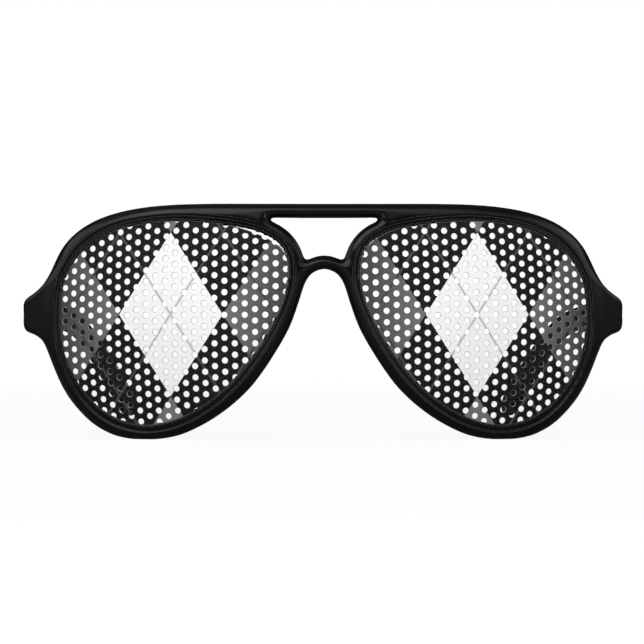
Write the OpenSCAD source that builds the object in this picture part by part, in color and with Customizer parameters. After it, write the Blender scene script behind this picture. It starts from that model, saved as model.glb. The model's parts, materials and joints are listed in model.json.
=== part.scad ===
// Novelty sunglasses: a one-piece double-bridge front, two clear lenses faced with a perforated
// printed film, and two temples on screwed metal hinges.
// The front faces -Y and Z is up.  Left is the wearer's left, at +X; each piece is drawn there
// and mirrored.  The glasses stand open on the lowest points of the rims and on the temple
// tips, which lie on z = 0.

/* [Front] */
// Distance between the two lens openings
bridge_w = 16.6; // [15:0.1:18]
// Width of an end piece, from the lens opening to its outer face
end_piece_w = 9.45; // [8.5:0.05:11]
// Height of the brow above the lens openings
brow_h = 3.9; // [3.5:0.1:5]
// Height of the rim below the lens openings
sill_h = 3.4; // [3:0.1:4.5]
// Radius of the sphere that the face of the front follows
face_r = 125; // [115:1:150]
// Thickness of the rims, front to back
front_t = 3.8; // [3.4:0.1:4.6]
// How far the moulded edges of the front are rounded
edge_round = 0.9; // [0.5:0.1:1]

/* [Lenses] */
// Width of one lens opening
lens_w = 55.5; // [50:0.5:60]
// Height of one lens opening
lens_h = 49; // [44:0.5:54]
// Thickness of the clear lens
lens_t = 1.5; // [1.2:0.1:1.8]
// Depth of the groove that holds the lens edge
groove_depth = 0.9; // [0.6:0.1:1]
// How far the lens lies behind the face of the rim
lens_setback = 1.2; // [1:0.1:1.4]

/* [Printed film] */
// Thickness of the film
film_t = 0.2; // [0.15:0.01:0.3]
// Gap between the edge of the film and the rim
film_margin = 0.1; // [0.05:0.01:0.4]
// How much further it falls short at its upper inner corner
corner_gap = 0.25; // [0:0.05:0.5]
// Diameter of one perforation
hole_d = 1.42; // [1.2:0.02:1.6]
// Distance between perforations in one column
hole_pitch = 2.715; // [2.6:0.005:3]
// Distance between columns of perforations
column_pitch = 2.475; // [2.3:0.005:2.7]
// Distance of one perforation on the left lens from the middle of the face
left_hole_out = 32.2; // [25:0.05:40]
// Height of that perforation above the hinges
left_hole_up = -0.2; // [-3:0.05:3]
// Degrees by which the rows on that lens rise outwards
left_row_turn = 1; // [-3:0.25:3]
// Distance of one perforation on the right lens, whose film is cut from another stretch of sheet
right_hole_out = 31.4; // [25:0.05:40]
// Height of that perforation above the hinges
right_hole_up = 1.2; // [-3:0.05:3]
// Degrees by which the rows on that lens rise outwards
right_row_turn = -0.25; // [-3:0.25:3]

/* [Nose pads] */
// How far the moulded nose pads reach behind the face of the front
pad_reach = 11.5; // [10:0.1:13]
// Thickness of a nose pad
pad_t = 2.2; // [1.8:0.1:2.8]

/* [Temples] */
// Length of a temple behind the hinge, measured straight back
temple_reach = 134; // [125:1:145]
// Height of the temple where it meets the hinge
temple_root_h = 7.8; // [7:0.1:8.4]
// Height of the temple at its middle
temple_mid_h = 6; // [5:0.1:7]
// Height of the ear tip
temple_tip_h = 7.6; // [6.5:0.1:9]
// Thickness of the temple
temple_t = 3.4; // [3:0.1:3.6]
// How far the ear tip turns in towards the head
tip_turn_in = 14.9; // [8:0.5:20]

/* [Hinges] */
// Length of the block behind each end piece that carries the hinge
block_len = 5.4; // [4.6:0.1:8]
// Gap between an end piece and its temple
joint_gap = 0.2; // [0.15:0.05:0.4]
// Outer diameter of the hinge barrel
barrel_d = 2.5; // [2.2:0.1:2.6]
// Height of the hinge barrel
barrel_h = 5.4; // [4.8:0.1:6]
// Diameter of the hinge screw
screw_d = 1.4; // [1.2:0.1:1.6]
// Length of each hinge leaf in its seat
leaf_len = 5; // [4:0.1:6]
// Thickness of each hinge leaf
leaf_t = 0.8; // [0.6:0.1:1]

/* [Fits] */
// Clearance all round each part that is set into the plastic
seat_gap = 0.04; // [0.02:0.01:0.08]
// Radial clearance of the screw in the knuckle that turns on it
running_gap = 0.05; // [0.03:0.01:0.08]
// Axial gap between neighbouring knuckles
knuckle_gap = 0.08; // [0.05:0.01:0.12]

/* [Hidden] */
$fn = 48;

// Sizes at which the outline points below were drawn.  From the middle out they are half the
// bridge, the lens and the end piece, and from the bottom up the sill, the lens and the brow.
drawn_x = [7.95, 55.5, 9.55];
drawn_z = [3.4, 49, 3.9];
now_x = [bridge_w / 2, lens_w, end_piece_w];
now_z = [sill_h, lens_h, brow_h];

// Heights of the hinges and of the middle of the nose pads on that drawing
drawn_mid_z = 30;
drawn_pad_z = 21;

// Right half of the outer outline, [x, z], from the middle of the brow bar round to the nose arch.
rim_points = [[0, 56.15], [14, 56.2], [27, 56.3], [36, 56.15], [43, 55.6], [49, 54.55], [54, 53],
              [58, 50.95], [61.1, 48.5], [63.3, 45.8], [64.9, 42.8], [66.15, 40.1], [68, 37.2],
              [70.2, 35.25], [72.2, 33.9], [73, 32.6], [73, 30], [73, 27.4], [72.3, 26],
              [70.3, 25.2], [68.2, 23.85], [66.9, 21.4], [65.8, 18.5], [64, 14.2], [61.6, 10],
              [58.2, 6], [54.5, 2.95], [50, 0.85], [45.5, 0.05], [42, 0], [38.3, 0.3], [34.2, 1.2],
              [30, 3], [25.5, 5.6], [21, 9], [17, 12.9], [13.6, 17.4], [10.6, 22.1], [8.2, 26.4],
              [6.6, 30.5], [5.45, 34.2], [4.5, 37.2], [3.2, 39.35], [1.6, 40.4], [0, 40.75]];

// Right half of the bridge window, [x, z], from its top middle to the top of the nose arch.
window_points = [[0, 52.9], [6, 52.9], [11.4, 52.95], [12.45, 52.7], [12, 52], [10.2, 51],
                 [8.5, 49.8], [7, 48.2], [5.75, 46.2], [4.95, 44.2], [4.35, 42.95], [3.3, 43.05],
                 [1.8, 43.6], [0, 43.85]];

// Right lens opening, [x, z] from its own centre.
lens_points = [[-1.8, 24.5], [5.8, 24.1], [13.2, 22.7], [18.8, 20.2], [22.7, 17.1], [25.5, 13.2],
               [27.1, 9.4], [27.75, 4.6], [27.75, -0.8], [27, -6.4], [25.6, -10.5],
               [23.5, -14.3], [20.8, -17.9], [17.1, -21.15], [12.5, -23.5], [6.9, -24.5],
               [1.5, -23.8], [-3.9, -21.7], [-9.1, -18.5], [-13.9, -14.4], [-17.8, -9.9],
               [-21.5, -4.7], [-24.5, 0.6], [-26.5, 5.3], [-27.65, 10.1], [-27.6, 14.6],
               [-26.2, 18.2], [-23.2, 20.7], [-18.2, 22.6], [-10.2, 23.9]];

// Course of a temple as shares of its reach, its drop and its turn-in, and which of the
// three heights (0 root, 1 middle, 2 tip) it has there.
temple_course = [[0, 0, 0, 0], [0.06, 0, 0, 0.1], [0.18, 0.004, 0.06, 0.6], [0.37, 0.03, 0.17, 1],
                 [0.51, 0.085, 0.26, 1], [0.59, 0.14, 0.32, 1.1], [0.68, 0.24, 0.4, 1.35],
                 [0.77, 0.39, 0.515, 1.7], [0.86, 0.6, 0.685, 2], [0.93, 0.8, 0.85, 2],
                 [1, 1, 1, 2]];

// A drawn distance at its present size, so that a rim keeps its width when its lens changes
function present(v, drawn, now) =
    v <= drawn[0] ? v * now[0] / drawn[0]
    : v <= drawn[0] + drawn[1] ? now[0] + (v - drawn[0]) * now[1] / drawn[1]
    : now[0] + now[1] + (v - drawn[0] - drawn[1]) * now[2] / drawn[2];
function fitted(p) = [for (q = p) [present(q[0], drawn_x, now_x), present(q[1], drawn_z, now_z)]];

half_w = now_x[0] + now_x[1] + now_x[2];
lens_x = now_x[0] + lens_w / 2;
lens_z = sill_h + lens_h / 2;
mid_z = present(drawn_mid_z, drawn_z, now_z);
pad_z = present(drawn_pad_z, drawn_z, now_z);
side_step = 0.2;
mid_round = edge_round * (1 - cos(45));
lens_front_r = face_r - lens_setback;
lens_back_r = lens_front_r - lens_t;
glue_line = 0.02;
film_back_r = lens_front_r + glue_line;
film_front_r = film_back_r + film_t;
graze = 0.06;
draw_in = 3 * graze;
notch_reach = 0.3;
punch_len = 2;
columns = ceil(lens_w / column_pitch);
rows = ceil(lens_h / hole_pitch);

// Hinge axis, from the middle of the face and the front of the bridge
barrel_r = barrel_d / 2;
barrel_clear = 0.25;
inner_face_x = half_w - side_step - temple_t;
hinge_x = inner_face_x - barrel_clear - barrel_r;
rim_back = face_r - sqrt(pow(face_r - front_t, 2) - pow(inner_face_x, 2));
joint_depth = rim_back + block_len;
hinge_depth = joint_depth + joint_gap / 2;
hinge_z = mid_z;
screw_r = screw_d / 2;
screw_head_r = 1.15;
screw_head_h = 0.8;
slot_w = 0.35;
slot_deep = 0.35;
knuckle_h = (barrel_h - 2 * knuckle_gap) / 3;
stud_r = 0.6;
stud_len = 1;

// Height of the middle of the ear tip above the surface that its lower edge rests on
tip_rest_z = temple_tip_h * 0.25;
tip_drop = hinge_z - tip_rest_z;
tip_round_from = 0.955;
tip_round_to = 1.01;
tip_overrun = 1;
temple_steps = 4;
tip_steps = 8;
nudge = 0.01;
section_sides = 16;
section_power = 0.45;

overall_d = joint_depth + joint_gap + temple_reach + tip_overrun;

// How far a cut runs past the face that it opens
overcut = 1;

// Smooth closed curve through the points, with so many steps from each point to the next
function curve_at(p, i, t) =
    let (n = len(p), a = p[(i + n - 1) % n], b = p[i % n], c = p[(i + 1) % n], d = p[(i + 2) % n])
    0.5 * (2 * b + (c - a) * t + (2 * a - 5 * b + 4 * c - d) * t * t
           + (3 * b - a - 3 * c + d) * t * t * t);
function closed_curve(p, steps) =
    [for (i = [0:len(p) - 1], k = [0:steps - 1]) curve_at(p, i, k / steps)];

// The same for an open row of values, held level at both ends
function open_at(p, s) =
    let (n = len(p) - 1, i = max(min(floor(s), n - 1), 0), t = s - i, a = p[max(i - 1, 0)], b = p[i],
         c = p[i + 1], d = p[min(i + 2, n)])
    0.5 * (2 * b + (c - a) * t + (2 * a - 5 * b + 4 * c - d) * t * t
           + (3 * b - a - 3 * c + d) * t * t * t);

function mirrored(half) =
    concat(half, [for (i = [len(half) - 2:-1:1]) [-half[i][0], half[i][1]]]);
function stretched(p, sx, sz) = [for (q = p) [q[0] * sx, q[1] * sz]];
function unit(v) = v / norm(v);

// Moves a clockwise outline inwards along its normals, by d or by its own d at each point
function inset(p, d) =
    let (n = len(p))
    [for (i = [0:n - 1])
        let (t = unit(p[(i + 1) % n] - p[(i + n - 1) % n]))
        p[i] + (is_num(d) ? d : d[i]) * [t[1], -t[0]]];

// True where q lies inside the outline p
function crossings(p, q) =
    let (n = len(p))
    [for (i = [0:n - 1])
        let (a = p[i], b = p[(i + 1) % n])
        if ((a[1] > q[1]) != (b[1] > q[1])
            && q[0] < a[0] + (q[1] - a[1]) * (b[0] - a[0]) / (b[1] - a[1])) 1];
function inside(p, q) = len(crossings(p, q)) % 2 == 1;

outer_curve = closed_curve(mirrored(fitted(rim_points)), 2);
window_curve = closed_curve(mirrored(fitted(window_points)), 2);
lens_curve = closed_curve(stretched(lens_points, lens_w / drawn_x[1], lens_h / drawn_z[1]), 2);

// The upper inner corner of a lens, from its centre, and how far from it the wider gap reaches
drawn_corner = [-24.9, 19.6];
corner_reach = 9;
corner_at = stretched([drawn_corner], lens_w / drawn_x[1], lens_h / drawn_z[1])[0];
function film_gap(q) =
    film_margin + corner_gap * pow(max(0, 1 - norm(q - corner_at) / corner_reach), 2);
film_curve = inset(lens_curve, [for (q = lens_curve) film_gap(q)]);

// A perforation is whole inside the first of these, would only graze the film's edge between the
// first and the second, notches the edge between the second and the third, and is missed beyond.
whole_hole_curve = inset(film_curve, hole_d / 2 + graze);
grazing_curve = inset(film_curve, hole_d / 2 - graze);
notch_curve = inset(film_curve, -notch_reach);

// A place on the sheet, out and up from the middle of the face, as turns about it and on the lens
function sheet_turns(s) = s / face_r * 180 / PI;
function on_lens(s) =
    let (t = sheet_turns(s))
    lens_front_r * [sin(t[0]) * cos(t[1]), sin(t[1])] - [lens_x, lens_z - mid_z];

// The same place, drawn towards the middle of the lens where it would graze the film's edge
function seated(s) =
    let (q = on_lens(s))
    inside(grazing_curve, q) && !inside(whole_hole_curve, q) ? s - draw_in * unit(q) : s;

// Moves a shape, drawn with the face of the bridge at y = 0, to the middle of the open glasses
module placed() {
    translate([0, -overall_d / 2, 0]) children();
}

// A flat shape in x and z, carried straight back to the depth of the middle of the face ball
module carried_back() {
    translate([0, face_r, 0]) rotate([90, 0, 0]) linear_extrude(height = face_r + overcut) children();
}

module through(p) {
    carried_back() polygon(p);
}

module face_ball(r) {
    translate([0, face_r, mid_z]) sphere(r);
}

module face_shell(r_front, r_back) {
    difference() {
        face_ball(r_front);
        face_ball(r_back);
    }
}

module both_sides() {
    children();
    mirror([1, 0, 0]) children();
}

module at_lens() {
    translate([lens_x, 0, lens_z]) children();
}

// One layer of the front: its outline drawn in at every edge, between two depths
module front_layer(step_in, step_deep) {
    intersection() {
        face_shell(face_r - step_deep, face_r - front_t + step_deep);
        carried_back() difference() {
            polygon(inset(outer_curve, step_in));
            polygon(inset(window_curve, -step_in));
            both_sides() translate([lens_x, lens_z]) polygon(inset(lens_curve, -step_in));
        }
    }
}

// The block behind each end piece that carries the hinge
module end_block() {
    intersection() {
        through(inset(outer_curve, side_step));
        face_ball(face_r - edge_round);
        translate([inner_face_x, rim_back - front_t - end_piece_w / 2, hinge_z - temple_root_h / 2])
            cube([half_w, block_len + front_t + end_piece_w / 2, temple_root_h]);
    }
}

// Moulded flange behind the nose side of a rim
module nose_pad() {
    intersection() {
        difference() {
            through(inset(outer_curve, side_step));
            through(inset(outer_curve, pad_t));
        }
        translate([0, 0, pad_z]) rotate([0, 90, 0]) cylinder(h = lens_x, r = pad_reach);
        face_ball(face_r - edge_round);
    }
}

module lens_groove() {
    intersection() {
        at_lens() through(inset(lens_curve, -groove_depth));
        face_shell(lens_front_r + seat_gap, lens_back_r - seat_gap);
    }
}

// The pocket for one hinge leaf and its stud, from y back
module leaf_seat(y) {
    translate([inner_face_x - overcut, y - seat_gap, hinge_z - barrel_h / 2 - seat_gap])
        cube([overcut + leaf_t + seat_gap, leaf_len + 2 * seat_gap, barrel_h + 2 * seat_gap]);
    translate([inner_face_x, y + leaf_len / 2, hinge_z]) rotate([0, 90, 0])
        cylinder(h = leaf_t + stud_len + seat_gap, r = stud_r + seat_gap);
}

// One-piece front: rims, brow bar, nose arch, end pieces and nose pads
module front_frame() {
    color([0.05, 0.05, 0.055]) placed() difference() {
        union() {
            front_layer(0, edge_round);
            front_layer(mid_round, mid_round);
            front_layer(edge_round, 0);
            both_sides() end_block();
            both_sides() nose_pad();
        }
        both_sides() lens_groove();
        both_sides() leaf_seat(joint_depth - leaf_len);
    }
}

// Clear lens, its edge in the groove of the rim
module lens() {
    color([0.86, 0.89, 0.9, 0.35]) placed() intersection() {
        at_lens() through(inset(lens_curve, seat_gap - groove_depth));
        face_shell(lens_front_r, lens_back_r);
    }
}

// Printed film on the face of a lens.  Its perforations stand square to the surface, in
// staggered columns, and the outermost ones break through its edge.
module print_film(one_hole, row_turn) {
    color([0.2, 0.2, 0.2]) placed() difference() {
        intersection() {
            at_lens() through(film_curve);
            face_shell(film_front_r, film_back_r);
        }
        for (i = [-columns:columns], j = [-rows:rows])
            let (a = i * column_pitch, b = (i % 2 == 0 ? j : j + 0.5) * hole_pitch,
                 spot = seated(one_hole + [a * cos(row_turn) - b * sin(row_turn),
                                           a * sin(row_turn) + b * cos(row_turn)]),
                 turns = sheet_turns(spot))
            if (inside(notch_curve, on_lens(spot)))
                translate([0, face_r, mid_z]) rotate([90 - turns[1], 0, turns[0]])
                    translate([0, 0, lens_front_r - punch_len / 2])
                        cylinder(h = punch_len, r = hole_d / 2);
    }
}

// Course and height of the temple at station s
function temple_value(k, s) = open_at([for (c = temple_course) c[k]], s);
function temple_at(s) =
    [half_w - side_step - temple_t / 2 - tip_turn_in * temple_value(2, s),
     joint_depth + joint_gap + temple_reach * temple_value(0, s),
     hinge_z - tip_drop * temple_value(1, s)];
function temple_h(s) =
    let (k = temple_value(3, s),
         past = max(0, (temple_value(0, s) - tip_round_from) / (tip_round_to - tip_round_from)))
    (k < 1 ? temple_root_h + (temple_mid_h - temple_root_h) * k
           : temple_mid_h + (temple_tip_h - temple_mid_h) * (k - 1)) * sqrt(1 - past * past);
function rounded(v) = sign(v) * pow(abs(v), section_power);

// One ring of the temple's rounded section, square to its course
function temple_ring(s) =
    let (ahead = unit(temple_at(s + nudge) - temple_at(s - nudge)),
         side = unit(cross(ahead, [0, 0, 1])), up = cross(side, ahead), h = temple_h(s))
    [for (k = [0:section_sides - 1])
        let (a = 360 * k / section_sides)
        temple_at(s) + side * rounded(cos(a)) * temple_t / 2 + up * rounded(sin(a)) * h / 2];

// A closed solid through the rings, each with the same number of points
module skin(rings) {
    m = len(rings[0]);
    n = len(rings);
    sides = [for (i = [0:n - 2], k = [0:m - 1])
        [i * m + k, i * m + (k + 1) % m, (i + 1) * m + (k + 1) % m, (i + 1) * m + k]];
    halves = [for (q = sides, h = [0, 1]) h == 0 ? [q[0], q[1], q[2]] : [q[0], q[2], q[3]]];
    polyhedron([for (r = rings, v = r) v],
               concat([[for (k = [m - 1:-1:0]) k]], halves, [[for (k = [0:m - 1]) (n - 1) * m + k]]));
}

module temple() {
    last = len(temple_course) - 1;
    stations = concat([for (i = [0:temple_steps * (last - 1)]) i / temple_steps],
                      [for (i = [1:tip_steps]) last - 1 + i / tip_steps]);
    color([0.05, 0.05, 0.055]) placed() difference() {
        skin([for (s = stations) temple_ring(s)]);
        leaf_seat(joint_depth + joint_gap);
    }
}

// A hinge leaf: its plate and stud from y back, and the web to its knuckle
module leaf_plate(y) {
    translate([inner_face_x, y, hinge_z - barrel_h / 2]) cube([leaf_t, leaf_len, barrel_h]);
    translate([inner_face_x + leaf_t, y + leaf_len / 2, hinge_z]) rotate([0, 90, 0])
        cylinder(h = stud_len, r = stud_r);
}

module knuckle(z, web_y, web_len, bore_r) {
    translate([0, 0, z]) difference() {
        union() {
            translate([hinge_x, hinge_depth, 0]) cylinder(h = knuckle_h, r = barrel_r);
            translate([hinge_x, web_y, 0])
                cube([inner_face_x + leaf_t / 2 - hinge_x, web_len, knuckle_h]);
        }
        translate([hinge_x, hinge_depth, -overcut])
            cylinder(h = knuckle_h + 2 * overcut, r = bore_r);
    }
}

// Leaf in the end piece, with the upper and lower knuckles
module front_hinge_leaf() {
    web_y = hinge_depth - barrel_r;
    color("silver") placed() {
        leaf_plate(joint_depth - leaf_len);
        for (z = [hinge_z - barrel_h / 2, hinge_z + barrel_h / 2 - knuckle_h])
            knuckle(z, web_y, joint_depth - web_y, screw_r + seat_gap);
    }
}

// Leaf in the temple, with the middle knuckle
module temple_hinge_leaf() {
    web_y = joint_depth + joint_gap;
    color("silver") placed() {
        leaf_plate(web_y);
        knuckle(hinge_z - knuckle_h / 2, web_y, hinge_depth + barrel_r - web_y,
                screw_r + running_gap);
    }
}

// Slotted screw that pins the three knuckles
module hinge_screw() {
    color("gainsboro") placed() translate([hinge_x, hinge_depth, hinge_z]) {
        translate([0, 0, -barrel_h / 2]) cylinder(h = barrel_h, r = screw_r);
        translate([0, 0, barrel_h / 2]) difference() {
            cylinder(h = screw_head_h, r = screw_head_r);
            translate([-screw_head_r - overcut, -slot_w / 2, screw_head_h - slot_deep])
                cube([2 * (screw_head_r + overcut), slot_w, screw_head_h]);
        }
    }
}

front_frame();
lens();  // lens_left
mirror([1, 0, 0]) lens();  // lens_right
print_film([left_hole_out, left_hole_up], left_row_turn);  // print_film_left
mirror([1, 0, 0]) print_film([right_hole_out, right_hole_up], right_row_turn);  // print_film_right
temple();  // temple_left
mirror([1, 0, 0]) temple();  // temple_right
front_hinge_leaf();  // front_hinge_leaf_left
mirror([1, 0, 0]) front_hinge_leaf();  // front_hinge_leaf_right
temple_hinge_leaf();  // temple_hinge_leaf_left
mirror([1, 0, 0]) temple_hinge_leaf();  // temple_hinge_leaf_right
hinge_screw();  // hinge_screw_left
mirror([1, 0, 0]) hinge_screw();  // hinge_screw_right
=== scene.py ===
import json
import math

import bpy
import numpy as np
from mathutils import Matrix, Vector
from mathutils.kdtree import KDTree


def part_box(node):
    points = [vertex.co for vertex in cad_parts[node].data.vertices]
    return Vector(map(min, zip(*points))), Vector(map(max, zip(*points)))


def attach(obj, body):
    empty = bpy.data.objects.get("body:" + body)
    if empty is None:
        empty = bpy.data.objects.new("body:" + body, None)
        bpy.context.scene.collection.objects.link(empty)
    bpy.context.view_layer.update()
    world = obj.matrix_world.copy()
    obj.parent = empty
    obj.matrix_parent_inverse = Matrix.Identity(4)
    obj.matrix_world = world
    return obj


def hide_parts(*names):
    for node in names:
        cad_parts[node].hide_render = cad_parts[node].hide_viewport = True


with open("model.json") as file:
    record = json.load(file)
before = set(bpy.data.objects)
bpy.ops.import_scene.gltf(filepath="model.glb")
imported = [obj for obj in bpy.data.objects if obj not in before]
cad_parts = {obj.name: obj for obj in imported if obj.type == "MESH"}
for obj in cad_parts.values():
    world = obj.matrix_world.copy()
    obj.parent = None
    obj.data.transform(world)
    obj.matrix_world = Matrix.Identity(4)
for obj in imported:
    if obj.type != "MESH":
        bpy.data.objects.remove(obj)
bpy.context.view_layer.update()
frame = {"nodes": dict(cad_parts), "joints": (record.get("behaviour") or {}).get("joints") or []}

# The view: the glasses stand open, seen at the height of the brow arch from 0.6 m in front of
# the bridge, which is where the photographed proportions put the lens.  The camera stands a
# little to the wearer's right and looks half a degree to the wearer's left.
hinge_setback = 0.03131
camera_distance = 0.600
camera_height = 0.02819
camera_turn = math.radians(0.55)
bridge_offset = 0.00057
focal_length_mm = 142.7
sensor_width_mm = 36.0

hinge_y, hinge_z = frame["joints"][0]["pos_m"][1:]
bridge_y = hinge_y - hinge_setback
ahead = Vector((math.sin(camera_turn), math.cos(camera_turn), 0))
aside = Vector((math.cos(camera_turn), -math.sin(camera_turn), 0))
stand = Vector((0, bridge_y, camera_height)) - ahead * camera_distance - aside * bridge_offset
bpy.ops.object.camera_add(location=stand, rotation=(math.radians(90), 0, -camera_turn))
camera = bpy.context.object
camera.name = "photo_camera"
camera.data.sensor_width = sensor_width_mm
camera.data.lens = focal_length_mm
camera.data.clip_start = 0.01
bpy.context.scene.camera = camera
bpy.context.scene.view_settings.view_transform = "Standard"

# Front moulding: both rims, the brow bar, the nose arch, the end pieces and the nose pads in one
# piece of black polycarbonate, injection moulded with satin faces.  Its rims are half-round
# beads beside a narrow flat ledge, and the lenses snap into the groove behind that ledge.
face_radius = 0.125
face_centre = np.array((0, bridge_y + face_radius, hinge_z))
front_thickness = 0.0038
front_band = 0.00105  # points less deep than this belong to the front face
section_depth = 0.0010  # depth behind the face at which the outlines are taken
curve_spacing = 0.0001
bead_radius = 0.0030
end_radius = 0.0015  # the rounding of the end pieces, reached from end_from to end_to
end_from, end_to = 0.0600, 0.0690
end_half_height = 0.0065
end_slant = 0.5
steep_bead = 0.0009  # nearer the wall than this the bead is set by its angle, not its depth
swell = 0.00009  # the walls stand so far outside the solid's
wall_reach = 0.0003
ledge_depth = 0.00062
ledge_heights = (0.004, 0.014, 0.030, 0.046, 0.056)
ledge_widths = (0.00150, 0.00128, 0.00105, 0.00115, 0.00125)  # at those heights
ledge_rise = 0.00044
shoulder_drop = 0.00030
shoulder_width = 0.0034
lip_radius = 0.00018
lip_reach = 0.00009  # how far the lip stands in over the lens
lip_wall = 0.00035
reach_fade = 0.0012
groove_from, groove_to, groove_width = 0.00110, 0.0030, 0.00095
held_from, held_to, held_width = 0.0009, 0.0032, 0.0013  # the groove, left unsmoothed
flange_reach = 0.0003
flange_depth = 0.0028
flange_wall = 0.0005
flange_lead, flange_step = 0.00008, 0.0001
back_radius = 0.0009
back_reach = 0.0004
back_parts_from = 0.0043  # the pads and hinge blocks reach further back than this
back_parts_margin = 0.0016
seat_gap, seat_fade = 0.0001, 0.0007  # what is kept unsmoothed round a hinge leaf
fine_step, fine_lip, fine_lip_depth = 0.0003, 0.0005, 0.0012
first_voxel = 0.00035
last_voxel = 0.00038
first_passes, second_passes, last_passes = 10, 4, 2


def copied(node, name):
    """A merged copy of a CAD node's mesh, selected and active."""
    piece = bpy.data.objects.new(name, frame["nodes"][node].data.copy())
    piece.data.name = name
    bpy.context.collection.objects.link(piece)
    bpy.ops.object.select_all(action="DESELECT")
    piece.select_set(True)
    bpy.context.view_layer.objects.active = piece
    bpy.ops.object.mode_set(mode="EDIT")
    bpy.ops.mesh.select_all(action="SELECT")
    bpy.ops.mesh.remove_doubles(threshold=0.000002)
    bpy.ops.mesh.customdata_custom_splitnormals_clear()
    bpy.ops.object.mode_set(mode="OBJECT")
    return piece


def finish_modifier(piece, kind, **settings):
    """Adds one modifier, sets it and applies it."""
    modifier = piece.modifiers.new(kind.title(), kind)
    for name, value in settings.items():
        setattr(modifier, name, value)
    bpy.context.view_layer.objects.active = piece
    bpy.ops.object.modifier_apply(modifier=modifier.name)


def points_of(piece):
    """A piece's points, one to a row."""
    co = np.empty(len(piece.data.vertices) * 3)
    piece.data.vertices.foreach_get("co", co)
    return co.reshape(-1, 3)


def set_points(piece, co):
    """Puts a piece's points at these places."""
    piece.data.vertices.foreach_set("co", co.ravel())
    piece.data.update()


def smooth_step(t):
    """Zero below 0, one above 1 and an even curve between."""
    t = np.clip(t, 0, 1)
    return t * t * (3 - 2 * t)


def box_clearance(co, nodes):
    """Distance from each point to the nearest of these CAD nodes' boxes."""
    found = np.full(len(co), 1.0)
    for node in nodes:
        low, high = (np.array(corner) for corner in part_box(node))
        outside = np.maximum(np.maximum(low - co, co - high), 0)
        found = np.minimum(found, np.linalg.norm(outside, axis=1))
    return found


def relaxed(piece, weight, times):
    """Smooths a piece as far as each point's weight allows."""
    group = piece.vertex_groups.new(name="free")
    for level in range(1, 11):
        members = np.flatnonzero(np.round(weight * 10) == level)
        group.add(members.tolist(), level / 10, "REPLACE")
    finish_modifier(piece, "SMOOTH", factor=0.5, iterations=times, vertex_group="free")
    piece.vertex_groups.clear()


def face_depth(co):
    """How far each point lies behind the round face of the front."""
    return face_radius - np.linalg.norm(co - face_centre, axis=1)


def on_face(flat, depth):
    """The points at these places in the front view, so far behind the round face."""
    back = (face_radius - depth) ** 2 - flat[:, 0] ** 2 - (flat[:, 1] - face_centre[2]) ** 2
    return np.stack((flat[:, 0], face_centre[1] - np.sqrt(back), flat[:, 1]), axis=1)


def outlines(node, depth):
    """The closed outlines of a node so far behind the round face, as rows of places."""
    section = copied(node, "section")
    co = points_of(section)
    co[:, 1] = face_depth(co)
    set_points(section, co)
    bpy.ops.object.mode_set(mode="EDIT")
    bpy.ops.mesh.select_all(action="SELECT")
    bpy.ops.mesh.bisect(plane_co=(0, depth, 0), plane_no=(0, 1, 0),
                        clear_inner=True, clear_outer=True)
    bpy.ops.object.mode_set(mode="OBJECT")
    links = {}
    for edge in section.data.edges:
        for a, b in (edge.vertices, reversed(edge.vertices)):
            links.setdefault(a, []).append(b)
    rows = []
    while links:
        here = next(iter(links))
        row = []
        while here is not None:
            row.append(section.data.vertices[here].co.xz)
            here = next((v for v in links.pop(here) if v in links), None)
        rows.append(np.array(row))
    bpy.data.objects.remove(section)
    return rows


def corners(row, least_turn=0.0009, least_step=0.0001):
    """The corners of an outline, without the places on the straights between them."""
    turns = np.roll(row, -1, 0) - row
    turns /= np.linalg.norm(turns, axis=1)[:, None]
    sharpest = np.argmin((turns * np.roll(turns, 1, 0)).sum(axis=1))
    row = np.roll(row, -sharpest, 0)
    kept = [row[0]]
    for here, following in zip(row[1:], np.roll(row, -1, 0)[1:]):
        come, go = here - kept[-1], following - here
        size = np.linalg.norm(come) * np.linalg.norm(go)
        if np.linalg.norm(come) > least_step and size > 0:
            if abs(come[0] * go[1] - come[1] * go[0]) > least_turn * size:
                kept.append(here)
    return np.array(kept)


def smooth_curve(row, sharp=0.95, rounds=5):
    """A smooth closed curve through an outline's corners, with the way to its right hand."""
    chord = np.roll(row, -1, 0) - row
    size = np.linalg.norm(chord, axis=1)[:, None]
    way = chord / size
    way_before = np.roll(way, 1, 0)
    size_before = np.roll(size, 1, 0)
    passing = (way * size_before + way_before * size) / (size + size_before)
    turned = (way * way_before).sum(axis=1)[:, None] < sharp
    leaving = np.where(turned, way, passing)
    arriving = np.roll(np.where(turned, way_before, passing), -1, 0)
    places = []
    for a, b, m, n, length in zip(row, np.roll(row, -1, 0), leaving, arriving, size[:, 0]):
        t = np.linspace(0, 1, int(length / curve_spacing) + 1, endpoint=False)[:, None]
        bulge = length * t * (1 - t) * (m * (1 - t) - n * t)
        places.append(a + (b - a) * t**2 * (3 - 2 * t) + bulge)
    curve = np.concatenate(places)
    for _ in range(rounds):
        curve = (np.roll(curve, 1, 0) + 2 * curve + np.roll(curve, -1, 0)) / 4
    along = np.roll(curve, -1, 0) - np.roll(curve, 1, 0)
    along /= np.linalg.norm(along, axis=1)[:, None]
    return curve, np.stack((along[:, 1], -along[:, 0]), axis=1)


def area(row):
    """Area of an outline, above zero where it runs anticlockwise."""
    after = np.roll(row, -1, 0)
    return (row[:, 0] * after[:, 1] - row[:, 1] * after[:, 0]).sum() / 2


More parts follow.
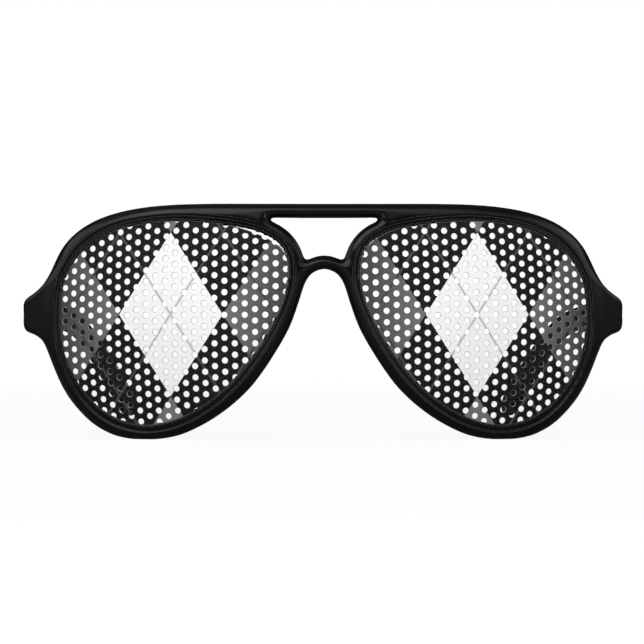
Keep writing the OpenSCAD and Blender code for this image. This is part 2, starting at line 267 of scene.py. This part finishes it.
class Edge:
    """Some edges of the plastic in the front view, each a curve with the way into the plastic."""

    def __init__(self, rows, outermost):
        curves = [smooth_curve(corners(row)) for row in rows]
        signs = [np.sign(area(row)) * (-1 if row is outermost else 1) for row in rows]
        self.places = np.concatenate([curve for curve, right in curves])
        self.inwards = np.concatenate([right * sign for (curve, right), sign in zip(curves, signs)])
        self.tree = KDTree(len(self.places))
        for i, (x, z) in enumerate(self.places):
            self.tree.insert((x, z, 0), i)
        self.tree.balance()

    def distance(self, flat):
        """How far each place lies inside the plastic, and the way in from the edge there."""
        nearest = np.array([self.tree.find((x, z, 0))[1] for x, z in flat])
        inwards = self.inwards[nearest]
        return ((flat - self.places[nearest]) * inwards).sum(axis=1), inwards


window_half_width = 0.02
rows = sorted(outlines("front_frame", section_depth), key=lambda row: -abs(area(row)))
outer_row = rows[0]
lens_rows = [row for row in rows[1:] if abs(row[:, 0].mean()) > window_half_width]
window_rows = [row for row in rows[1:] if abs(row[:, 0].mean()) < window_half_width]
walls = Edge([outer_row] + window_rows, outer_row)
openings = Edge(lens_rows, outer_row)
seats = ["front_hinge_leaf_left", "front_hinge_leaf_right"]


def radius_at(flat):
    """The radius of the outer edges, full on the rims and smaller on the end pieces."""
    beyond = np.maximum(np.abs(flat[:, 1] - hinge_z) - end_half_height, 0)
    along = smooth_step((np.abs(flat[:, 0]) - end_slant * beyond - end_from) / (end_to - end_from))
    return bead_radius + (end_radius - bead_radius) * along


def bead_at(wall, radius):
    """Depth of a half-round bead of this radius so far from the outer wall."""
    return radius - np.sqrt(radius**2 - np.clip(radius - wall, 0, radius) ** 2)


def ledge_at(lens, flat):
    """Depth of the ledge and of the shoulder behind it, so far from the lens opening."""
    width = np.interp(flat[:, 1], ledge_heights, ledge_widths)
    ledge = ledge_depth * (1 - smooth_step((lens - width) / ledge_rise))
    return ledge + shoulder_drop * smooth_step((lens - width - ledge_rise) / shoulder_width)


def rounded(first, second, radius):
    """Moves two distances from a corner's faces onto its rounding."""
    across, deep = radius - first, radius - second
    scale = radius / np.maximum(np.hypot(across, deep), 1e-9)
    return radius - across * scale, radius - deep * scale


def moulded(co):
    """Points of the front set onto its moulded form."""
    flat, depth = co[:, [0, 2]], face_depth(co)
    wall, wall_way = walls.distance(flat)
    lens, lens_way = openings.distance(flat)
    wall += swell
    new_wall, new_lens, new_depth = wall.copy(), lens.copy(), depth.copy()

    radius = radius_at(flat)
    front_face = (depth < front_band) & (wall >= steep_bead)
    new_depth[front_face] = np.maximum(bead_at(wall, radius), ledge_at(lens, flat))[front_face]
    lip = front_face & (lens < lip_radius) & (depth < ledge_depth + lip_radius)
    new_lens[lip], sunk = rounded(lens[lip], depth[lip] - ledge_depth, lip_radius)
    new_depth[lip] = ledge_depth + sunk
    lens_wall = (lens < lip_wall) & (depth >= ledge_depth + lip_radius) & (depth < groove_from)
    new_lens[lens_wall] = 0
    new_depth[lens_wall] = depth[lens_wall]
    inwards = 1 - smooth_step(lens / reach_fade)
    new_lens -= inwards * np.where(depth < groove_from, lip_reach, 0)

    bead = (wall < steep_bead) & (depth < radius)
    new_wall[bead], new_depth[bead] = rounded(wall[bead], depth[bead], radius[bead])
    round_back = front_thickness - back_radius
    side = (np.abs(wall) < wall_reach) & (depth >= radius) & (depth < round_back)
    new_wall[side] = 0

    deep_tree = KDTree(int((depth > back_parts_from).sum()))
    for i, (x, z) in enumerate(flat[depth > back_parts_from]):
        deep_tree.insert((x, z, 0), i)
    deep_tree.balance()
    behind = (depth > round_back) & (depth < back_parts_from)
    behind &= (lens > groove_width) | (depth > groove_to)
    ones = np.flatnonzero(behind)
    from_parts = np.array([deep_tree.find((x, z, 0))[2] for x, z in flat[ones]])
    ones = ones[from_parts > back_parts_margin]
    back = front_thickness - depth[ones]
    for edge, new_edge in ((wall, new_wall), (lens, new_lens)):
        turned = ones[(edge[ones] < back_radius) & (back < back_radius)]
        deep = front_thickness - depth[turned]
        new_edge[turned], height = rounded(edge[turned], deep, back_radius)
        new_depth[turned] = front_thickness - height
    flange = (np.abs(lens) < flange_wall) & (depth > flange_depth) & (depth <= round_back)
    new_lens[flange] = 0
    past_flange = smooth_step((depth - flange_depth + flange_lead) / flange_step)
    new_lens -= flange_reach * inwards * past_flange
    level = (wall[ones] >= back_radius) & (lens[ones] >= back_radius)
    new_depth[ones[level & (np.abs(back) < back_reach)]] = front_thickness

    flat = flat + wall_way * (new_wall - wall)[:, None] + lens_way * (new_lens - lens)[:, None]
    return on_face(flat, new_depth)


def free_share(co):
    """How freely each point may be smoothed: not at the hinge seats, nor in the lens groove."""
    lens, way = openings.distance(co[:, [0, 2]])
    depth = face_depth(co)
    in_groove = (lens < held_width) & (depth > held_from) & (depth < held_to)
    from_seats = smooth_step((box_clearance(co, seats) - seat_gap) / seat_fade)
    return np.where(in_groove, 0, from_seats)


front = copied("front_frame", "front_moulding")
finish_modifier(front, "REMESH", mode="VOXEL", voxel_size=first_voxel)
relaxed(front, free_share(points_of(front)), first_passes)
set_points(front, moulded(points_of(front)))
finish_modifier(front, "REMESH", mode="VOXEL", voxel_size=last_voxel)
relaxed(front, free_share(points_of(front)), second_passes)

# The ledge and the lip of each opening need closer points than the rest.
co = points_of(front)
inside, way = openings.distance(co[:, [0, 2]])
depth = face_depth(co)
past_ledge = inside - np.interp(co[:, 2], ledge_heights, ledge_widths)
step_band = (depth < front_band) & (past_ledge < ledge_rise + fine_step)
lip_band = (depth < fine_lip_depth) & (inside < fine_lip)
bpy.ops.object.mode_set(mode="EDIT")
bpy.ops.mesh.select_all(action="DESELECT")
bpy.ops.mesh.select_mode(type="VERT")
bpy.ops.object.mode_set(mode="OBJECT")
front.data.vertices.foreach_set("select", step_band | lip_band)
bpy.ops.object.mode_set(mode="EDIT")
bpy.ops.mesh.select_mode(type="FACE")
bpy.ops.mesh.subdivide(number_cuts=1)
bpy.ops.object.mode_set(mode="OBJECT")
set_points(front, moulded(points_of(front)))
relaxed(front, free_share(points_of(front)), last_passes)
bpy.ops.object.shade_smooth()

moulding_black = (0.0026, 0.0026, 0.0028, 1)
worn_black = (0.0044, 0.0044, 0.0047, 1)
front_roughness = (0.16, 0.24)
flow_bump, grain_bump = 0.000003, 0.0000012


def new_material(name):
    """A material whose only shader is a Principled one, and its parts to hand."""
    material = bpy.data.materials.new(name)
    material.use_nodes = True
    tree = material.node_tree
    return material, tree, tree.nodes["Principled BSDF"]


def noise(tree, scale, detail=3.0, stretch=(1, 1, 1)):
    """Noise over the object's own coordinates, with so many grains to the metre."""
    place = tree.nodes.new("ShaderNodeTexCoord")
    mapping = tree.nodes.new("ShaderNodeMapping")
    mapping.inputs["Scale"].default_value = stretch
    texture = tree.nodes.new("ShaderNodeTexNoise")
    texture.inputs["Scale"].default_value = scale
    texture.inputs["Detail"].default_value = detail
    tree.links.new(place.outputs["Object"], mapping.inputs["Vector"])
    tree.links.new(mapping.outputs["Vector"], texture.inputs["Vector"])
    return texture.outputs["Fac"]


def between(tree, value, low, high, start=0.35, end=0.65):
    """A value stretched from low to high."""
    span = tree.nodes.new("ShaderNodeMapRange")
    span.inputs["From Min"].default_value = start
    span.inputs["From Max"].default_value = end
    span.inputs["To Min"].default_value = low
    span.inputs["To Max"].default_value = high
    tree.links.new(value, span.inputs["Value"])
    return span.outputs["Result"]


def blended(tree, value, first, second):
    """A colour between two, by a value."""
    mix = tree.nodes.new("ShaderNodeMix")
    mix.data_type = "RGBA"
    for socket, colour in ((mix.inputs[6], first), (mix.inputs[7], second)):
        if isinstance(colour, tuple):
            socket.default_value = colour
        else:
            tree.links.new(colour, socket)
    tree.links.new(value, mix.inputs[0])
    return mix.outputs[2]


def bumped(tree, height, distance, before=None):
    """A bump of the surface, over one before it if there is one."""
    bump = tree.nodes.new("ShaderNodeBump")
    bump.inputs["Strength"].default_value = 1.0
    bump.inputs["Distance"].default_value = distance
    tree.links.new(height, bump.inputs["Height"])
    if before is not None:
        tree.links.new(before, bump.inputs["Normal"])
    return bump.outputs["Normal"]


plastic, tree, shader = new_material("black_polycarbonate")
wear = between(tree, noise(tree, 90, 4), 0, 1)
tree.links.new(blended(tree, wear, moulding_black, worn_black), shader.inputs["Base Color"])
handled = noise(tree, 45, 5)
tree.links.new(between(tree, handled, *front_roughness), shader.inputs["Roughness"])
flow = bumped(tree, noise(tree, 600, 2), flow_bump)
grain = bumped(tree, noise(tree, 5000, 2), grain_bump, flow)
tree.links.new(grain, shader.inputs["Normal"])
shader.inputs["Specular IOR Level"].default_value = 0.45
shader.inputs["IOR"].default_value = 1.5

front.data.materials.clear()
front.data.materials.append(plastic)
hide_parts("front_frame")
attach(front, "front")

# Clear lenses: two blanks of polished clear plastic, moulded to the curve of the face and
# snapped into the grooves of the rims.
clear_tint = (0.985, 0.992, 0.99, 1)
lens_roughness = (0.0, 0.02)
clear, tree, shader = new_material("clear_polished_plastic")
shader.inputs["Base Color"].default_value = clear_tint
shader.inputs["Transmission Weight"].default_value = 1.0
shader.inputs["IOR"].default_value = 1.49
smears = noise(tree, 70, 4)
tree.links.new(between(tree, smears, *lens_roughness), shader.inputs["Roughness"])
for node in ("lens_left", "lens_right"):
    lens = frame["nodes"][node]
    lens.data.materials.clear()
    lens.data.materials.append(clear)

# Printed films: white perforated vinyl stuck to the face of each lens, printed edge to edge in
# black, grey and white.  The print is a plain argyle of wide lozenges crossed by fine lines.
# The knife leaves a pale edge round the film and round each perforation; that white edge is
# coloured mid grey, painted shade on the cut walls.
lozenge_x = 0.0365
lozenge_z = 0.0300
lozenge_half_w = 0.0125
lozenge_half_h = 0.0195
line_width = 0.00032
bleed_width = 0.00012
grey_fade = (1.0, 2.6)  # in lozenges from the middle one
ink_white = (0.945, 0.945, 0.945, 1)
ink_black = (0.0028, 0.0028, 0.0030, 1)
ink_grey = (0.17, 0.17, 0.17, 1)
ink_line_dark = (0.055, 0.055, 0.056, 1)
ink_line_light = (0.55, 0.55, 0.56, 1)
ink_grain = 0.015
ink_mottle = (0.97, 1.02)
ink_roughness, ink_bump = (0.5, 0.62), 0.000003
vinyl_greys_painted_shade = ((0.26, 0.26, 0.26, 1), (0.34, 0.34, 0.34, 1))
adhesive_blacks = ((0.012, 0.012, 0.013, 1), (0.02, 0.02, 0.021, 1))
adhesive_roughness = (0.45, 0.6)
cap_facing = 0.7  # faces turned this far outwards or inwards are not cut ones
cut_edge = 0.00008
film_gap = 0.00011  # between the trimmed film and the opening
cut_from, cut_steps = 0.0003, 8  # cuts longer than this are divided so many times
cut_depth, cut_facing = -0.0005, 0.9  # walls this near the opening and facing it are its edge
kept_corner = (0.0120, 0.0495)  # the upper inner corner, which isn't trimmed
kept_reach, kept_fade = 0.0075, 0.0030
short_corner = 0.00070  # the right film stops short of the rim by this much
short_corner_at = (-0.0145, 0.0500)
short_corner_size = 0.0105
short_fade = 0.0022

ink, tree, shader = new_material("printed_ink")


def calc(tree, operation, a, b=0.0):
    """One step of arithmetic on values or numbers."""
    step = tree.nodes.new("ShaderNodeMath")
    step.operation = operation
    for socket, value in zip(step.inputs, (a, b)):
        if isinstance(value, (int, float)):
            socket.default_value = value
        else:
            tree.links.new(value, socket)
    return step.outputs["Value"]


place = tree.nodes.new("ShaderNodeTexCoord")
split = tree.nodes.new("ShaderNodeSeparateXYZ")
tree.links.new(place.outputs["Object"], split.inputs["Vector"])
bleed = calc(tree, "MULTIPLY", calc(tree, "SUBTRACT", noise(tree, 4000, 1), 0.5), bleed_width)
across = calc(tree, "SUBTRACT", calc(tree, "ABSOLUTE", split.outputs["X"]), lozenge_x)
across = calc(tree, "ADD", across, bleed)
up = calc(tree, "ADD", calc(tree, "SUBTRACT", split.outputs["Z"], lozenge_z), bleed)
u = calc(tree, "DIVIDE", across, lozenge_half_w)
v = calc(tree, "DIVIDE", up, lozenge_half_h)
p = calc(tree, "MULTIPLY", calc(tree, "ADD", u, v), 0.5)
q = calc(tree, "MULTIPLY", calc(tree, "SUBTRACT", u, v), 0.5)
p_cell = calc(tree, "ROUND", p)
q_cell = calc(tree, "ROUND", q)
from_centre = calc(tree, "ADD", calc(tree, "ABSOLUTE", p_cell), calc(tree, "ABSOLUTE", q_cell))
centre_cell = calc(tree, "LESS_THAN", from_centre, 0.5)
cell_sum = calc(tree, "ABSOLUTE", calc(tree, "ADD", p_cell, q_cell))
odd_cell = calc(tree, "MODULO", cell_sum, 2.0)
even_cell = calc(tree, "SUBTRACT", 1.0, odd_cell)
grey_left = between(tree, calc(tree, "ABSOLUTE", u), 1.0, 0.0, *grey_fade)
grey_share = calc(tree, "MULTIPLY", even_cell, grey_left)
ground = blended(tree, grey_share, ink_black, ink_grey)
lozenges = blended(tree, centre_cell, ground, ink_white)
line_half = line_width / lozenge_half_w / 2
p_line = calc(tree, "ABSOLUTE", calc(tree, "SUBTRACT", p, p_cell))
q_line = calc(tree, "ABSOLUTE", calc(tree, "SUBTRACT", q, q_cell))
on_line = calc(tree, "LESS_THAN", calc(tree, "MINIMUM", p_line, q_line), line_half)
line_colour = blended(tree, centre_cell, ink_line_dark, ink_line_light)
printed = blended(tree, on_line, lozenges, line_colour)
mottle = between(tree, noise(tree, 2500, 2), *ink_mottle)
grain = between(tree, noise(tree, 2200, 2), 0, ink_grain, 0.36, 0.66)
laid = tree.nodes.new("ShaderNodeVectorMath")
laid.operation = "MULTIPLY_ADD"
tree.links.new(printed, laid.inputs[0])
tree.links.new(mottle, laid.inputs[1])
tree.links.new(grain, laid.inputs[2])
tree.links.new(laid.outputs["Vector"], shader.inputs["Base Color"])
tree.links.new(between(tree, noise(tree, 900, 2), *ink_roughness), shader.inputs["Roughness"])
tree.links.new(bumped(tree, noise(tree, 3500, 2), ink_bump), shader.inputs["Normal"])
shader.inputs["Specular IOR Level"].default_value = 0.22

# The cut walls: white vinyl coloured mid grey, painted shade in the holes and along the film's
# edge.
vinyl, tree, shader = new_material("white_vinyl_edge")
fibre = between(tree, noise(tree, 3000, 2), 0, 1)
tree.links.new(blended(tree, fibre, *vinyl_greys_painted_shade), shader.inputs["Base Color"])
shader.inputs["Roughness"].default_value = 0.5
shader.inputs["Specular IOR Level"].default_value = 0.3

adhesive, tree, shader = new_material("black_adhesive_back")
smear = between(tree, noise(tree, 700, 3), 0, 1)
tree.links.new(blended(tree, smear, *adhesive_blacks), shader.inputs["Base Color"])
matted = between(tree, noise(tree, 400, 3), *adhesive_roughness)
tree.links.new(matted, shader.inputs["Roughness"])
shader.inputs["Specular IOR Level"].default_value = 0.3


def faces_out(face):
    """One for a face turned straight out from the glasses, minus one for one turned in."""
    return face.normal.dot((face.center - Vector(face_centre)).normalized())


def trimmed(film):
    """Trims a film's straight cuts to the smooth opening, but for its upper inner corner."""
    cuts = [face for face in film.data.polygons if abs(faces_out(face)) < cap_facing]
    inside, way = openings.distance(np.array([face.center.xz for face in cuts]))
    normals = np.array([face.normal.xz for face in cuts])
    facing = (normals * way).sum(axis=1) / np.linalg.norm(normals, axis=1)
    co = points_of(film)
    cut_points, cut_edges = set(), set()
    for face, fits, depth in zip(cuts, facing, inside):
        long_keys = [(a, b) for a, b in face.edge_keys if np.linalg.norm(co[a] - co[b]) > cut_from]
        if fits > cut_facing and depth > cut_depth and long_keys:
            cut_points.update(face.vertices)
            cut_edges.update(long_keys)
    film.vertex_groups.new(name="cut").add(sorted(cut_points), 1.0, "REPLACE")
    bpy.ops.object.mode_set(mode="EDIT")
    bpy.ops.mesh.select_mode(type="EDGE")
    bpy.ops.mesh.select_all(action="DESELECT")
    bpy.ops.object.mode_set(mode="OBJECT")
    chosen = [edge.key in cut_edges for edge in film.data.edges]
    film.data.edges.foreach_set("select", chosen)
    bpy.ops.object.mode_set(mode="EDIT")
    bpy.ops.mesh.subdivide(number_cuts=cut_steps)
    bpy.ops.object.mode_set(mode="OBJECT")
    on_cut = [v.index for v in film.data.vertices if any(g.weight > 0.99 for g in v.groups)]
    co = points_of(film)
    flat = co[on_cut][:, [0, 2]]
    inside, way = openings.distance(flat)
    from_corner = np.linalg.norm(np.abs(flat) - kept_corner, axis=1)
    share = smooth_step((from_corner - kept_reach) / kept_fade)
    flat -= way * ((inside + film_gap) * share)[:, None]
    co[on_cut] = on_face(flat, face_depth(co[on_cut]))
    set_points(film, co)
    film.vertex_groups.clear()


for side in ("left", "right"):
    film = copied("print_film_" + side, "film_" + side)
    trimmed(film)
    if side == "right":
        co = points_of(film)
        flat = co[:, [0, 2]]
        inside, way = openings.distance(flat)
        near = 1 - smooth_step(np.linalg.norm(flat - short_corner_at, axis=1) / short_corner_size)
        short = short_corner * near * smooth_step(1 + inside / short_fade)
        set_points(film, on_face(flat - way * short[:, None], face_depth(co)))
    film.data.materials.clear()
    for material in (ink, vinyl, adhesive):
        film.data.materials.append(material)
    for face in film.data.polygons:
        outward = faces_out(face)
        face.material_index = 0 if outward > cap_facing else 2 if outward < -cap_facing else 1
    # The bevel round every cut takes the vinyl edge's grey, painted shade on the cut walls.
    finish_modifier(film, "BEVEL", width=cut_edge, segments=1, limit_method="ANGLE",
                    angle_limit=math.radians(40), material=1, use_clamp_overlap=False)
    bpy.ops.object.shade_smooth_by_angle(angle=math.radians(30))
    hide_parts("print_film_" + side)
    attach(film, "front")

# Temples: one black polycarbonate moulding a side, a little less glossy than the front, which
# bends down and inwards behind the ear and ends in a wider rounded tip.
temple_voxel = 0.00035
temple_roughness, temple_bump = (0.24, 0.34), 0.000002
temple_passes = 10
leaf_gap, leaf_fade = 0.0001, 0.0006  # what is kept unsmoothed round the hinge leaf
arm_plastic, tree, shader = new_material("black_polycarbonate_matt")
wear = between(tree, noise(tree, 90, 4), 0, 1)
tree.links.new(blended(tree, wear, moulding_black, worn_black), shader.inputs["Base Color"])
tree.links.new(between(tree, noise(tree, 45, 5), *temple_roughness), shader.inputs["Roughness"])
tree.links.new(bumped(tree, noise(tree, 5000, 2), temple_bump), shader.inputs["Normal"])
shader.inputs["Specular IOR Level"].default_value = 0.4
shader.inputs["IOR"].default_value = 1.5

for side in ("left", "right"):
    temple = copied("temple_" + side, "arm_" + side)
    finish_modifier(temple, "REMESH", mode="VOXEL", voxel_size=temple_voxel)
    clearance = box_clearance(points_of(temple), ["temple_hinge_leaf_" + side])
    relaxed(temple, smooth_step((clearance - leaf_gap) / leaf_fade), temple_passes)
    bpy.ops.object.shade_smooth()
    temple.data.materials.clear()
    temple.data.materials.append(arm_plastic)
    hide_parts("temple_" + side)
    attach(temple, side + "_arm")

# Hinge leaves: nickel-silver stampings, two knuckles on the front and one on each temple, each
# leaf pressed into its pocket and held there by a stud.  Tumbling has softened their edges.
leaf_bevel = 0.00009
nickel_greys = ((0.60, 0.585, 0.55, 1), (0.70, 0.69, 0.66, 1))
nickel_roughness, nickel_bump = (0.22, 0.42), 0.000002
nickel, tree, shader = new_material("nickel_silver")
tarnish = between(tree, noise(tree, 700, 4), 0, 1)
tree.links.new(blended(tree, tarnish, *nickel_greys), shader.inputs["Base Color"])
shader.inputs["Metallic"].default_value = 1.0
rolled = between(tree, noise(tree, 1500, 4, (1, 1, 8)), *nickel_roughness)
tree.links.new(rolled, shader.inputs["Roughness"])
scored = bumped(tree, noise(tree, 2500, 3, (1, 1, 10)), nickel_bump)
tree.links.new(scored, shader.inputs["Normal"])

for side in ("left", "right"):
    for holder, body in (("front", "front"), ("temple", side + "_arm")):
        node = holder + "_hinge_leaf_" + side
        leaf = copied(node, node.replace("hinge_leaf", "leaf"))
        finish_modifier(leaf, "BEVEL", width=leaf_bevel, segments=2, limit_method="ANGLE",
                        angle_limit=math.radians(40), use_clamp_overlap=True)
        bpy.ops.object.shade_smooth_by_angle(angle=math.radians(35))
        leaf.data.materials.clear()
        leaf.data.materials.append(nickel)
        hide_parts(node)
        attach(leaf, body)

# Hinge screws: slotted cheese-head screws of bright steel, one down through each barrel, which
# holds its leaves together and is the pin that the temple turns on.
screw_bevel = 0.00006
steel_greys = ((0.62, 0.62, 0.63, 1), (0.74, 0.74, 0.75, 1))
steel_roughness, steel_bump = (0.16, 0.32), 0.0000015
steel, tree, shader = new_material("bright_steel")
haze = between(tree, noise(tree, 900, 3), 0, 1)
tree.links.new(blended(tree, haze, *steel_greys), shader.inputs["Base Color"])
shader.inputs["Metallic"].default_value = 1.0
tree.links.new(between(tree, noise(tree, 2500, 3), *steel_roughness), shader.inputs["Roughness"])
turned = bumped(tree, noise(tree, 4000, 2, (1, 1, 0.1)), steel_bump)
tree.links.new(turned, shader.inputs["Normal"])

for side in ("left", "right"):
    screw = copied("hinge_screw_" + side, "screw_" + side)
    finish_modifier(screw, "BEVEL", width=screw_bevel, segments=2, limit_method="ANGLE",
                    angle_limit=math.radians(50), use_clamp_overlap=True)
    bpy.ops.object.shade_smooth_by_angle(angle=math.radians(35))
    screw.data.materials.clear()
    screw.data.materials.append(steel)
    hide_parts("hinge_screw_" + side)
    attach(screw, "front")

# The table: a plain pale sheet that reads as white and keeps the soft shadow of the glasses.  In
# the gloss of the glasses only the part of it in front of them shows: that strip glows faintly
# for bounced rays, a painted reflection that also lights them a little.
floor_half = 3.0
floor_grey = (0.10, 0.10, 0.10, 1)
floor_lifts = (0.91, 0.97)  # near the glasses and far from them
lift_edges = (0.25, 0.80)
glow = 0.11
glow_edges = (-0.16, -0.06)


def seen_directly(tree):
    """One for a ray straight from the camera or through the clear lenses, else nothing."""
    ray = tree.nodes.new("ShaderNodeLightPath")
    bounced = calc(tree, "ADD", ray.outputs["Glossy Depth"], ray.outputs["Diffuse Depth"])
    straight = calc(tree, "LESS_THAN", bounced, 0.5)
    through = calc(tree, "MULTIPLY", ray.outputs["Is Transmission Ray"], straight)
    return ray.outputs["Is Camera Ray"], through


bpy.ops.object.select_all(action="DESELECT")
bpy.ops.mesh.primitive_plane_add(size=2 * floor_half, location=(0, 0, 0))
floor = bpy.context.object
floor.name = "table_sheet"
floor.data.name = "table_sheet"
paper, tree, shader = new_material("white_paper")
shader.inputs["Base Color"].default_value = floor_grey
shader.inputs["Roughness"].default_value = 0.9
shader.inputs["Specular IOR Level"].default_value = 0.0
place = tree.nodes.new("ShaderNodeTexCoord")
away = tree.nodes.new("ShaderNodeVectorMath")
away.operation = "LENGTH"
tree.links.new(place.outputs["Object"], away.inputs[0])
floor_lift = between(tree, away.outputs["Value"], *floor_lifts, *lift_edges)
spot = tree.nodes.new("ShaderNodeSeparateXYZ")
tree.links.new(place.outputs["Object"], spot.inputs["Vector"])
to_camera, through_lens = seen_directly(tree)
direct = calc(tree, "ADD", to_camera, through_lens)
# The strip in front of the glasses glows for bounced rays only: a painted reflection in their
# gloss.
in_gloss = between(tree, spot.outputs["Y"], glow, 0, *glow_edges)
painted_glow = calc(tree, "MULTIPLY", calc(tree, "SUBTRACT", 1.0, direct), in_gloss)
shine = calc(tree, "ADD", calc(tree, "MULTIPLY", direct, floor_lift), painted_glow)
tree.links.new(shine, shader.inputs["Emission Strength"])
shader.inputs["Emission Color"].default_value = (1, 1, 1, 1)
floor.data.materials.append(paper)

# Studio light: a wide tent of white cloth over the glasses and dimmer round both sides, brighter
# on the wearer's right, with two upright windows left and right of the camera and the camera's
# own side dark.  A front and a rear fill light the print and the back, and don't show in the gloss.
tent_levels = (1.6, 0.38)  # on the wearer's right and left
above_level = 0.05

# These pairs and those below are edges along X, Y or Z of the direction looked in, -1 to 1.
tent_across = (-0.5, 0.5)
tent_foot = (0.54, 0.68)
tent_back = (-0.16, 0.0)
flap_offset, flap_depth, flap_half_width = 0.42, 0.18, 0.35  # reaches further back
beside_level = 0.62
beside_across = (0.55, 0.75)
beside_foot = (-0.1, 0.3)
beside_front = (-0.33, -0.13)
beside_slope, beside_back = 1.6, (-0.16, -0.02)
window_level = 2.3
window_inner, window_outer = (0.28, 0.42), (0.70, 0.86)
window_height = (0.10, 0.28)
window_back = (-0.1, 0.1)
cloth_level, cloth_outer_share = 0.22, 0.3
cloth_inner, cloth_outer = (0.66, 0.82), (0.85, 0.93)
cloth_height = (0.25, 0.5)
cloth_back = (-0.25, 0.0)
studio_dark = 0.008
lens_gain = 1.07  # makes up for what the clear lenses take from the white behind them
fill_distance = 1.3
front_fill_height, front_fill_size, front_fill_radiance = 0.55, (1.8, 1.1), 2.85
rear_fill_height, rear_fill_size, rear_fill_radiance = 0.9, (1.6, 1.0), 0.3


def soft_fill(name, place, size, radiance):
    """A flat lamp of so much radiance, aimed at the middle of the glasses, unseen in the gloss."""
    bpy.ops.object.light_add(type="AREA", location=place)
    lamp = bpy.context.object
    lamp.name = name
    lamp.data.shape = "RECTANGLE"
    lamp.data.size, lamp.data.size_y = size
    lamp.data.energy = radiance * math.pi * size[0] * size[1]
    aim = Vector((0, 0, camera_height)) - Vector(place)
    lamp.rotation_euler = aim.to_track_quat("-Z", "Y").to_euler()
    lamp.visible_camera = False
    lamp.visible_glossy = False


front_fill_place = (0, bridge_y - fill_distance, front_fill_height)
soft_fill("front_fill", front_fill_place, front_fill_size, front_fill_radiance)
soft_fill("rear_fill", (0, fill_distance, rear_fill_height), rear_fill_size, rear_fill_radiance)

world = bpy.data.worlds.new("studio")
bpy.context.scene.world = world
world.use_nodes = True
tree = world.node_tree
background = tree.nodes["Background"]
background.inputs["Color"].default_value = (1, 1, 1, 1)
direction = tree.nodes.new("ShaderNodeTexCoord")
split = tree.nodes.new("ShaderNodeSeparateXYZ")
tree.links.new(direction.outputs["Generated"], split.inputs["Vector"])
along_x, along_y, along_z = (split.outputs[axis] for axis in "XYZ")
sideways = calc(tree, "ABSOLUTE", along_x)
from_level = calc(tree, "ABSOLUTE", along_z)

high = between(tree, along_z, 0, 1, *tent_foot)
off_flap = calc(tree, "ABSOLUTE", calc(tree, "ADD", along_x, flap_offset))
flap = between(tree, off_flap, flap_depth, 0, 0, flap_half_width)
overhead = calc(tree, "SUBTRACT", along_y, flap)
tent = calc(tree, "MULTIPLY", between(tree, along_x, *tent_levels, *tent_across),
            between(tree, overhead, 1, above_level, *tent_back))

past_end_piece = calc(tree, "SUBTRACT", along_y, calc(tree, "MULTIPLY", along_z, beside_slope))
round_side = calc(tree, "MULTIPLY", between(tree, along_y, 0, 1, *beside_front),
                  between(tree, past_end_piece, 1, 0, *beside_back))
beside = calc(tree, "MULTIPLY", round_side, between(tree, sideways, 0, 1, *beside_across))
beside = calc(tree, "MULTIPLY", beside, between(tree, along_z, 0, beside_level, *beside_foot))

window_width = calc(tree, "MULTIPLY", between(tree, sideways, 0, 1, *window_inner),
                    between(tree, sideways, 1, 0, *window_outer))
window = calc(tree, "MULTIPLY", window_width,
              between(tree, from_level, window_level, 0, *window_height))
window = calc(tree, "MULTIPLY", window, between(tree, along_y, 1, 0, *window_back))

cloth_width = calc(tree, "MULTIPLY", between(tree, sideways, 0, cloth_level, *cloth_inner),
                   between(tree, sideways, 1, cloth_outer_share, *cloth_outer))
cloth = calc(tree, "MULTIPLY", cloth_width, between(tree, from_level, 1, 0, *cloth_height))
cloth = calc(tree, "MULTIPLY", cloth, between(tree, along_y, 1, 0, *cloth_back))

above = calc(tree, "MAXIMUM", calc(tree, "MULTIPLY", high, tent), beside)
lit = calc(tree, "ADD", above, calc(tree, "ADD", window, cloth))
to_camera, through_lens = seen_directly(tree)
direct = calc(tree, "ADD", to_camera, calc(tree, "MULTIPLY", through_lens, lens_gain))
bounced = calc(tree, "SUBTRACT", 1.0, calc(tree, "ADD", to_camera, through_lens))
studio = calc(tree, "MULTIPLY", bounced, calc(tree, "ADD", lit, studio_dark))
strength = calc(tree, "ADD", direct, studio)
tree.links.new(strength, background.inputs["Strength"])
